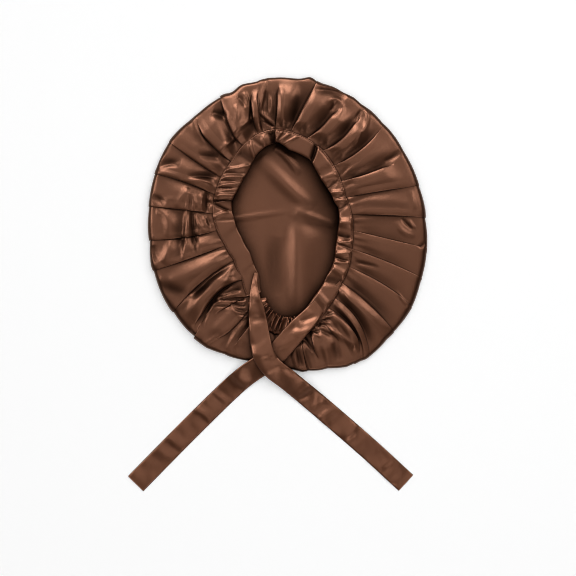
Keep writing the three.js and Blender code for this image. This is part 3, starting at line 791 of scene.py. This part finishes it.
def build_crown():
    """One sheet: the ring of pleats, the rim fold and the panel that lies on the surface."""
    rows = ring_rows()
    share, fold = rows["share"], rows["fold"]
    deg, radius, rise, depth = crown_columns(rows)
    radius = radius - rows["inward"] + rise * rows["out"]
    for at, spread, out in zip(*RIM_STEPS.values()):
        away = (deg - at + 180) % 360 - 180
        radius = radius + out * np.exp(-(away / spread) ** 2) * smoothstep(RIM_STEP_FROM, 1, share)
    x, y = on_plan(deg, radius)
    z = rows["height"] + rise * rows["up"]
    loose = smoothstep(*SEAM_HOLDS, share) * (1 - smoothstep(*RIM_HOLDS, share)) * fold
    gathers = np.exp(-np.clip(share, 0, 1) / GATHER_FADE) * smoothstep(*GATHER_FROM, share)
    turn = np.radians(deg)
    wrinkles = loose * wrinkle_height(RING_WRINKLES, x, y)
    z = z + wrinkles
    height, seed, fewest, most = GATHERS
    z = z + height * gathers * radial_ripple(turn, share, seed, fewest, most) * fold
    restless = loose * np.clip(around("puff", "rim_deg", deg) / USUAL_PUFF, *RESTLESS)
    height, seed, fewest, most = LONG_FOLDS
    z = z + restless * height * radial_ripple(turn, share, seed, fewest, most)
    waves = sum(height * ripple(x, y, seed, wave) for height, seed, wave in RING_WAVES)
    z = z + restless * waves
    z = np.maximum(z, LOWEST)
    points = np.stack([x.T, y.T, z.T], axis=-1).reshape(-1, 3)
    # Painted shade along the rim, where the cloth turns down away from the light, in the folds and in
    # the wrinkles' hollows
    rim_shade = EDGE_SHADE * smoothstep(*EDGE_SHARES, share)
    depth = np.clip(depth + HOLLOW_SHADE * np.clip(-wrinkles, 0, None), 0, 1)
    shade = (1 - np.maximum(FOLD_SHADE * depth, rim_shade)).T.reshape(-1)
    columns = len(deg)
    faces = grid_faces(len(share), columns, closed=True)

    edge = np.arange(columns) + (len(share) - 1) * columns
    reach = np.arange(-FILL_REACH, FILL_REACH, FILL_SPACING)
    px, py = np.meshgrid(reach, reach)
    px[1::2] += FILL_SPACING / 2
    px, py = px.ravel(), py.ravel()
    limit = around("rim", "rim_deg", np.degrees(np.arctan2(py, px))) - UNDER_RUN
    limit = limit - FILL_SPACING * FILL_MARGIN
    inside = np.hypot(px, py) < limit
    px, py = px[inside], py[inside]
    plan = np.concatenate([points[edge, :2], np.stack([px, py], axis=-1)]).tolist()
    loop = [(k, (k + 1) % columns) for k in range(columns)]
    found = delaunay_2d_cdt(plan, loop, [], 1, FILL_MERGE)
    fx, fy = np.array([tuple(v) for v in found[0]]).T
    rim = around("rim", "rim_deg", np.degrees(np.arctan2(fy, fx)))
    from_edge = rim - UNDER_RUN - np.hypot(fx, fy)
    height, seed, wave = PANEL_WAVE
    lift = PANEL_SWELL + wrinkle_height(PANEL_WRINKLES, fx, fy) + height * ripple(fx, fy, seed, wave)
    fz = UNDER_HEIGHT + np.maximum(lift, 0) * smoothstep(0, SWELL_RUN, from_edge)
    origin = [source[0] if source and source[0] < columns else None for source in found[3]]
    # Painted shade on the inside panel: the band's painted shadow, and darker hollows
    hollow = np.clip(PANEL_SWELL - lift, 0, None)
    hidden_shade = panel_shade(fx, fy) * np.clip(1 - HOLLOW_SHADE * hollow, HOLLOW_DARKEST, 1)
    number, extra, extra_shade = {}, [], []
    for k, source in enumerate(origin):
        if source is None:
            number[k] = len(points) + len(extra)
            extra.append((fx[k], fy[k], fz[k]))
            extra_shade.append(hidden_shade[k])
        else:
            number[k] = int(edge[source])
    faces += [tuple(number[v] for v in face) for face in found[2]]
    points = np.concatenate([points, np.array(extra)])
    shade = np.concatenate([shade, extra_shade])
    return mesh_object("crown_cloth", points, faces, shade)


# Strips: the band, the casing and the ties

def strip_object(name, rows, cloth, shade=1.0):
    """A strip of folded cloth through a grid of points, with rounded selvedges and closed ends."""
    rows = np.asarray(rows)
    along = np.gradient(rows, axis=0)
    across = np.gradient(rows, axis=1)
    normal = np.cross(across, along)
    normal /= np.linalg.norm(normal, axis=-1, keepdims=True)
    normal *= np.where(normal[..., 2:] < 0, -1, 1)
    width = rows.shape[1]
    place = np.linspace(0, 1, width)
    edge = np.sqrt(np.clip(np.minimum(place, 1 - place) * width / SELVEDGE, 0, 1))[None, :, None]
    thick = normal * cloth / 2 * np.maximum(edge, SELVEDGE_THIN)
    loops = np.concatenate([rows + thick, (rows - thick)[:, ::-1]], axis=1)
    count = loops.shape[1]
    points = loops.reshape(-1, 3)
    faces = grid_faces(len(rows), count, closed=True)
    for start, flip in ((0, False), ((len(rows) - 1) * count, True)):
        for k in range(width - 1):
            cap = (start + k, start + k + 1, start + count - 2 - k, start + count - 1 - k)
            faces.append(cap[::-1] if flip else cap)
    # The painted shade, the same on both faces of the strip
    shade = np.broadcast_to(shade, rows.shape[:2])
    both_sides = np.concatenate([shade, shade[:, ::-1]], axis=1)
    return mesh_object(name, points, faces, both_sides.reshape(-1))


def ring_point(deg, offset, height):
    """Points at a distance inwards from the seam, square to it, for arrays of bearings."""
    x, y = on_plan(deg, around("seam", "seam_deg", deg))
    before, after = deg - SEAM_NUDGE, deg + SEAM_NUDGE
    xa, ya = on_plan(before, around("seam", "seam_deg", before))
    xb, yb = on_plan(after, around("seam", "seam_deg", after))
    size = np.hypot(xb - xa, yb - ya)
    return np.stack([x - (yb - ya) / size * offset, y + (xb - xa) / size * offset, height], axis=-1)


def band_lift(deg, share):
    """Height of the band's wrinkles and folds, at columns of bearings and rows of shares."""
    lift = np.zeros(np.broadcast(deg, share).shape)
    for at, turn, height, spread, start, stop in zip(*BAND_WRINKLES.values()):
        away = np.radians(deg - at - turn * (share - 0.5)) * BAND_RADIUS
        length = smoothstep(start - WRINKLE_START, start + WRINKLE_START, share)
        length = length * (1 - smoothstep(stop - WRINKLE_STOP[0], stop + WRINKLE_STOP[1], share))
        lift += height * np.exp(-(away / spread) ** 2) * length
    return lift


def band_fold(deg, share):
    """Height of the folds where the band laps over itself, and the painted shade beside them."""
    rise = np.zeros(np.broadcast(deg, share).shape)
    dark = np.zeros_like(rise)
    for at, turn, height in zip(*BAND_FOLDS.values()):
        away = np.radians(at + turn * (share - 0.5) - deg) * BAND_RADIUS
        over = np.clip(away, 0, None)
        rise += height * smoothstep(-FOLD_LIP, FOLD_LIP, away) * np.exp(-over / FOLD_RUN)
        beside = np.where(away > 0, np.exp(-away / FOLD_LIP), np.exp(away / FOLD_SHADOW))
        dark = np.maximum(dark, height / FOLD_DARK_RISE * beside)
    return rise, dark


def band_height(deg, share):
    """Height of the middle of the band's cloth, at columns of bearings and rows of shares."""
    lift = band_lift(deg, share) + band_fold(deg, share)[0]
    first = BAND["deg"][0]
    lift = lift - END_DROP * (1 - smoothstep(first, first + END_RUN, deg))
    dip = np.interp(deg, BAND["deg"], BAND["dip"])
    width = np.interp(deg, BAND["deg"], BAND["width"])
    inward = share * width
    sewn = mix(BAND_SEWN, 1, smoothstep(0, BAND_SEWN_SHARE, share))
    groove = STITCH_GROOVE * np.exp(-((inward - STITCH_INSET) / GROOVE_WIDTH) ** 2)
    swell = BAND_SWELL * np.sin(math.pi * share)
    from_edge = (1 - share) * width
    bead = EDGE_BEAD * np.exp(-(from_edge / BEAD_WIDTH) ** 2) * smoothstep(*BEAD_FROM, deg)
    middle = SEAM_HEIGHT + SEAM_GAP + BAND_CLOTH / 2
    return middle + lift * sewn + swell + bead - DIP_SHARE * dip * share ** 3 - groove


def build_band():
    """The folded band, from its right end round the front to its left end."""
    step_deg = np.degrees(BAND_STEP / BAND_RADIUS)
    deg = np.arange(BAND["deg"][0], BAND["deg"][-1], step_deg)[:, None]
    share = BAND_ROWS[None, :]
    width = np.interp(deg, BAND["deg"], BAND["width"])
    bearing = np.repeat(deg, share.size, 1)
    rows = ring_point(bearing, width * share, band_height(deg, share))
    # Painted shade beside the band's folds and in its hollows
    hollow = np.clip(-band_lift(deg, share), 0, None)
    dark = np.clip(FOLD_SHADE * band_fold(deg, share)[1] + HOLLOW_SHADE * hollow, 0, FOLD_SHADE)
    return strip_object("front_band_cloth", rows, BAND_CLOTH, 1 - dark)


def build_stitches():
    """Small capsules of thread in a row just inside the band's seam."""
    dense = np.linspace(BAND["deg"][0] + STITCH_ENDS, BAND["deg"][-1] - STITCH_ENDS, LINE_POINTS)
    line = ring_point(dense, STITCH_INSET, np.zeros_like(dense))
    travelled = np.concatenate([[0], np.cumsum(np.linalg.norm(np.diff(line, axis=0), axis=1))])
    starts = np.arange(STITCH_SPACING, travelled[-1] - STITCH_SPACING, STITCH_SPACING)
    share = STITCH_INSET / np.interp(dense, BAND["deg"], BAND["width"])
    top = np.array([band_height(d, s) for d, s in zip(dense, share)]) + BAND_CLOTH / 2
    line[:, 2] = top + STITCH_RADIUS * STITCH_STANDS
    turn = 2 * math.pi * np.arange(STITCH_SIDES) / STITCH_SIDES
    tube = grid_faces(len(STITCH_SECTIONS), STITCH_SIDES, closed=True)
    last = (len(STITCH_SECTIONS) - 1) * STITCH_SIDES
    points, faces = [], []
    for start in starts:
        ends = [start + place * STITCH_LENGTH for place, _ in STITCH_SECTIONS]
        middle = np.stack([np.interp(ends, travelled, line[:, k]) for k in range(3)], axis=-1)
        ahead = middle[-1] - middle[0]
        ahead /= np.linalg.norm(ahead)
        aside = np.cross(ahead, (0, 0, 1))
        aside /= np.linalg.norm(aside)
        above = np.cross(aside, ahead)
        first = len(points)
        for centre, (_, size) in zip(middle, STITCH_SECTIONS):
            spoke = np.cos(turn)[:, None] * aside + np.sin(turn)[:, None] * above
            points += list(centre + STITCH_RADIUS * size * spoke)
        faces += [tuple(first + v for v in face) for face in tube]
        faces.append(tuple(first + k for k in reversed(range(STITCH_SIDES))))
        faces.append(tuple(first + last + k for k in range(STITCH_SIDES)))
    return mesh_object("band_stitches", points, faces)


def build_nape():
    """The casing at the nape, in a row of small folds that stand up from the seam."""
    count = NAPE["folds"] * NAPE["steps_per_fold"]
    even = np.linspace(0, 1, count + 1)[:, None]
    share = np.linspace(0, 1, NAPE["rows"])[None, :]
    deg = mix(NAPE["from_deg"], NAPE["to_deg"], even)
    phase = 2 * math.pi * NAPE["folds"] * even
    wander = sum(height * np.sin(a * share + b * even) for height, a, b in NAPE_WANDER)
    wave = 0.5 - 0.5 * np.cos(phase + wander)
    end = smoothstep(0, NAPE["flat_end"], np.minimum(even, 1 - even))
    sewn = mix(NAPE["sewn"], 1, smoothstep(0, NAPE["sewn_share"], share))
    free = mix(1, NAPE["free"], smoothstep(NAPE["free_from"], 1, share))
    full = sewn * free
    height = SEAM_HEIGHT + SEAM_GAP + BAND_CLOTH / 2 + NAPE["ruffle"] * end * full * wave
    lean = NAPE["lean"] * np.sin(phase + wander) * full * end
    offset = NAPE["width"] * share * (1 + NAPE["edge_wave"] * np.sin(phase))
    rows = ring_point(deg + lean, offset, height)
    # Painted shade in the valleys between the folds
    shade = 1 - NAPE["valley_shade"] * end * (1 - wave) ** 2
    return strip_object("nape_casing_cloth", rows, BAND_CLOTH * NAPE["cloth"], shade)


def tie_height(x, y):
    """Height of a tie's middle: on the ring, then falling to the surface past the rim."""
    rim = around("rim", "rim_deg", np.degrees(np.arctan2(y, x)))
    past = np.hypot(x, y) - rim + TIE_SHOULDER
    return TIE_CLOTH / 2 + TIE_HEIGHT * (1 - smoothstep(0, TIE_FALL, past))


def smooth_line(values, even):
    """A smooth curve through the rows of a table, at shares of the number of rows."""
    count = len(values) - 1
    place = np.clip(even * count, 0, count - 1e-9)
    k = place.astype(int)
    part = place - k
    padded = np.concatenate([[2 * values[0] - values[1]], values, [2 * values[-1] - values[-2]]])
    a, b, c, d = padded[k], padded[k + 1], padded[k + 2], padded[k + 3]
    once = (c - a) * part
    squared = (2 * a - 5 * b + 4 * c - d) * part ** 2
    cubed = (3 * b - a - 3 * c + d) * part ** 3
    return 0.5 * (2 * b + once + squared + cubed)


def build_tie(name, rows, seed):
    """A tie along its table's middle line, with its roll, waves and wrinkles."""
    dense = np.linspace(0, 1, LINE_POINTS)
    x, y = smooth_line(rows["x"], dense), smooth_line(rows["y"], dense)
    travelled = np.concatenate([[0], np.cumsum(np.hypot(np.diff(x), np.diff(y)))])
    even = np.interp(np.arange(0, travelled[-1], TIE_STEP), travelled, dense)
    x, y = smooth_line(rows["x"], even), smooth_line(rows["y"], even)
    count = len(rows["x"])
    width = np.interp(even * (count - 1), np.arange(count), rows["width"])
    lift = smooth_line(rows["lift"], even)
    roll = smooth_line(rows["roll"], even)
    dx, dy = np.gradient(x), np.gradient(y)
    size = np.hypot(dx, dy)
    out = np.linspace(-0.5, 0.5, TIE_ACROSS)[None, :] * width[:, None]
    px = x[:, None] - (dy / size)[:, None] * out
    py = y[:, None] + (dx / size)[:, None] * out
    wave = np.zeros_like(px)
    for height, more, length in TIE_WAVES:
        wave = wave + height * np.clip(1 + ripple(px, py, seed + more, length), 0, None)
    right = np.linspace(0.5, -0.5, TIE_ACROSS)[None, :] * roll[:, None]
    wave = wave + wrinkle_height(TIE_WRINKLES, px, py) * smoothstep(*TIE_CALM, even)[:, None]
    pz = tie_height(px, py) + lift[:, None] + wave + right + 0.5 * np.abs(roll[:, None])
    return strip_object(name, np.stack([px, py, pz], axis=-1), TIE_CLOTH)


# Material

def set_inputs(node, values):
    """Sets the sockets of a node by name."""
    for socket, value in values.items():
        node.inputs[socket].default_value = value


def satin(name, colour, hidden_shade_within):
    """Satin with painted shade: darker and warmer in its folds and where near cloth hides it."""
    material = bpy.data.materials.new(name)
    material.use_nodes = True
    nodes = material.node_tree.nodes
    links = material.node_tree.links
    shader = nodes["Principled BSDF"]
    set_inputs(shader, GLOSS)
    place = nodes.new("ShaderNodeTexCoord")
    cloud = nodes.new("ShaderNodeTexNoise")
    set_inputs(cloud, CLOUD)
    tone = nodes.new("ShaderNodeMix")
    tone.data_type = "RGBA"
    tone.inputs["A"].default_value = (*[c * (1 - TONE_SPREAD) for c in colour], 1)
    tone.inputs["B"].default_value = (*[c * (1 + TONE_SPREAD) for c in colour], 1)
    links.new(place.outputs["Object"], cloud.inputs["Vector"])
    links.new(cloud.outputs["Fac"], tone.inputs["Factor"])
    # Painted shade: the shade attribute times the ambient occlusion darkens the base colour
    shade = nodes.new("ShaderNodeAttribute")
    shade.attribute_name = "shade"
    darken = nodes.new("ShaderNodeMix")
    darken.data_type = "RGBA"
    darken.blend_type = "MULTIPLY"
    darken.inputs["Factor"].default_value = 1
    links.new(tone.outputs["Result"], darken.inputs["A"])
    hidden_shade = nodes.new("ShaderNodeAmbientOcclusion")
    hidden_shade.samples = HIDDEN_SHADE_SAMPLES
    hidden_shade.inputs["Distance"].default_value = hidden_shade_within
    deep = nodes.new("ShaderNodeMath")
    deep.operation = "POWER"
    deep.inputs[1].default_value = HIDDEN_SHADE_POWER
    links.new(hidden_shade.outputs["AO"], deep.inputs[0])
    both = nodes.new("ShaderNodeMath")
    both.operation = "MULTIPLY"
    links.new(shade.outputs["Fac"], both.inputs[0])
    links.new(deep.outputs["Value"], both.inputs[1])
    links.new(both.outputs["Value"], darken.inputs["B"])
    # In painted shade the satin turns fully metallic, so that its dark brown darkens the gloss too
    metal = nodes.new("ShaderNodeMapRange")
    set_inputs(metal, METAL)
    links.new(both.outputs["Value"], metal.inputs["Value"])
    links.new(metal.outputs["Result"], shader.inputs["Metallic"])
    links.new(darken.outputs["Result"], shader.inputs["Base Color"])
    crumple = nodes.new("ShaderNodeTexNoise")
    set_inputs(crumple, CRUMPLE)
    weave = nodes.new("ShaderNodeTexWave")
    set_inputs(weave, WEAVE)
    links.new(place.outputs["Object"], crumple.inputs["Vector"])
    links.new(place.outputs["Object"], weave.inputs["Vector"])
    large = nodes.new("ShaderNodeBump")
    set_inputs(large, CRUMPLE_BUMP)
    small = nodes.new("ShaderNodeBump")
    set_inputs(small, WEAVE_BUMP)
    links.new(crumple.outputs["Fac"], large.inputs["Height"])
    links.new(weave.outputs["Fac"], small.inputs["Height"])
    links.new(large.outputs["Normal"], small.inputs["Normal"])
    links.new(small.outputs["Normal"], shader.inputs["Normal"])
    return material


# Stage

def build_stage():
    """The floor that the bonnet lies on."""
    signs = ((-1, -1), (1, -1), (1, 1), (-1, 1))
    corners = [(a * FLOOR_REACH, b * FLOOR_REACH, 0) for a, b in signs]
    floor = mesh_object("floor", corners, [(0, 1, 2, 3)])
    material = bpy.data.materials.new("pale_floor")
    material.use_nodes = True
    set_inputs(material.node_tree.nodes["Principled BSDF"], FLOOR)
    floor.data.materials.append(material)


def area_light(name, place, size, power):
    """A round white lamp that looks at the middle and isn't seen itself."""
    light = bpy.data.lights.new(name, "AREA")
    light.shape = "DISK"
    light.size = size
    light.energy = power
    lamp = bpy.data.objects.new(name, light)
    bpy.context.collection.objects.link(lamp)
    lamp.location = place
    lamp.visible_camera = False
    lamp.rotation_euler = (-lamp.location).to_track_quat("-Z", "Y").to_euler()
    return lamp


def build_light():
    """The sky, the soft lights and the gloss lights."""
    scene = bpy.context.scene
    scene.view_settings.view_transform = "Standard"
    scene.cycles.filter_width = 1.0
    world = bpy.data.worlds.new("studio")
    scene.world = world
    world.use_nodes = True
    nodes = world.node_tree.nodes
    links = world.node_tree.links
    background = nodes["Background"]
    background.inputs["Color"].default_value = (1, 1, 1, 1)
    place = nodes.new("ShaderNodeTexCoord")
    split = nodes.new("ShaderNodeSeparateXYZ")
    fade = nodes.new("ShaderNodeMapRange")
    fade.interpolation_type = "SMOOTHSTEP"
    set_inputs(fade, SKY)
    links.new(place.outputs["Generated"], split.inputs["Vector"])
    links.new(split.outputs["Z"], fade.inputs["Value"])
    links.new(fade.outputs["Result"], background.inputs["Strength"])
    for values in SOFT_LIGHTS:
        area_light(*values).visible_glossy = False
    for values in GLOSS_LIGHTS:
        area_light(*values).visible_diffuse = False


def build_camera():
    """A long lens straight above the middle of the picture."""
    camera = bpy.data.cameras.new("camera")
    camera.lens = LENS
    camera.sensor_width = SENSOR
    camera.dof.use_dof = False
    eye = bpy.data.objects.new("camera", camera)
    bpy.context.collection.objects.link(eye)
    distance = PICTURE_WIDTH * LENS / SENSOR
    x, y = PICTURE_MIDDLE
    eye.location = (x * MM, y * MM, (distance + PICTURE_LEVEL) * MM)
    bpy.context.scene.camera = eye


def dress(thing, node, material):
    """Puts a piece in the place of its solid."""
    thing.data.materials.append(material)
    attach(thing, "root")
    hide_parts(node)


build_camera()
build_light()
build_stage()
crown_satin = satin("crown_satin", BROWN, 0.03)
band_satin = satin("band_satin", BROWN, 0.008)
nape_satin = satin("nape_satin", NAPE_LIT_BROWN, 0.004)
tie_satin = satin("tie_satin", TIE_BROWN, 0.03)

crown = build_crown()
dress(crown, "crown", crown_satin)
band = build_band()
dress(band, "front_band", band_satin)
stitches = build_stitches()
stitches.data.materials.append(satin("thread", THREAD_BROWN, 0.002))
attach(stitches, "root")
nape = build_nape()
dress(nape, "nape_casing", nape_satin)
tie_right = build_tie("tie_right_cloth", TIE_RIGHT, 21)
dress(tie_right, "tie_right", tie_satin)
tie_left = build_tie("tie_left_cloth", TIE_LEFT, 22)
dress(tie_left, "tie_left", tie_satin)
